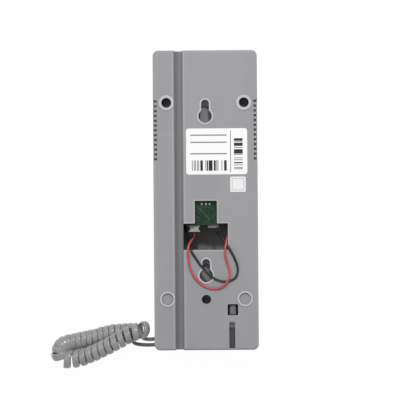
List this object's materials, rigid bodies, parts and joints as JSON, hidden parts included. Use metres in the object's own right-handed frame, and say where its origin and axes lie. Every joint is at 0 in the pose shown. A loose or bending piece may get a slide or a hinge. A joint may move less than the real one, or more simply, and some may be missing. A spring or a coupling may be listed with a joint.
{
  "type": "audio intercom handset",
  "caption": "Wall audio intercom lying face down on its handset: slim base with keyholes, wire window and cable groove, handset on the hook, curly cord doubled beside it.",
  "frame": {"origin": "centre of the footprint of the base and handset, on the plane the handset lies on", "axes": "+Z is the rear face's outward normal, +Y is the top end, +X completes the right hand"},
  "size_m": [0.1497, 0.2275, 0.0494],
  "materials": {
    "base_plastic": "light warm grey, fine texture",
    "handset_plastic": "light warm grey, satin",
    "cord_plastic": "mid grey PVC jacket",
    "red_insulation": "red PVC",
    "black_insulation": "black PVC",
    "board_green": "solder mask green",
    "black_plastic": "moulded black",
    "white_plastic": "white nylon",
    "grey_plastic": "grey nylon",
    "paper_white": "printed sticker, bare",
    "resistor_body": "beige lacquer",
    "cone_paper": "pressed paper",
    "foam": "open foam",
    "rubber_black": "soft rubber",
    "screw_steel": "zinc plated",
    "spring_steel": "spring wire",
    "solder": "bright tin",
    "can_aluminium": "capsule can"
  },
  "bodies": {
    "handset": {"handset_outer_shell": "handset_plastic", "handset_inner_shell": "handset_plastic", "handset_screws": "screw_steel", "earpiece_capsule": "can_aluminium", "earpiece_foam_ring": "foam", "microphone_capsule": "can_aluminium", "microphone_boot": "rubber_black", "handset_cord_grommet": "rubber_black", "handset_leads": "cord_plastic", "curly_cord": "cord_plastic", "cord_tail_to_handset": "cord_plastic", "cord_tail_to_base": "cord_plastic"},
    "base": {"rear_shell": "base_plastic", "front_shell": "base_plastic", "case_screws": "screw_steel", "main_board": "board_green", "board_screws": "screw_steel", "solder_joints": "solder", "white_wire_plug": "white_plastic", "grey_wire_plug": "grey_plastic", "red_wire": "red_insulation", "black_wire": "black_insulation", "label_sticker": "paper_white", "small_sticker": "paper_white", "line_terminal_block": "black_plastic", "terminal_screws": "screw_steel", "capacitors": "black_plastic", "resistors": "resistor_body", "amplifier_chip": "black_plastic", "audio_transformer": "can_aluminium", "ringer_frame": "can_aluminium", "ringer_cone": "cone_paper", "hook_spring": "spring_steel", "hook_switch": "black_plastic", "hook_switch_plate": "board_green", "hook_plate_screws": "screw_steel", "door_tact_switch": "black_plastic", "base_cord_grommet": "rubber_black", "base_inner_lead": "cord_plastic"},
    "hook_plunger": {"hook_plunger": "white_plastic"},
    "door_button": {"door_button": "grey_plastic"}
  },
  "joints": [
    {"name": "base_lift", "type": "slide", "parent": "handset", "child": "base", "axis": [0, 0, 1], "range_m": [0, 0.06]},
    {"name": "hook_travel", "type": "slide", "parent": "base", "child": "hook_plunger", "axis": [0, 0, -1], "range_m": [0, 0.0035], "deforming": ["hook_spring"]},
    {"name": "door_press", "type": "slide", "parent": "base", "child": "door_button", "axis": [0, 0, 1], "range_m": [0, 0.001], "stiffness_N_per_m": 300}
  ],
  "couplings": [
    {"joint": "hook_travel", "follows": "base_lift", "ratio": 0.058328}
  ]
}
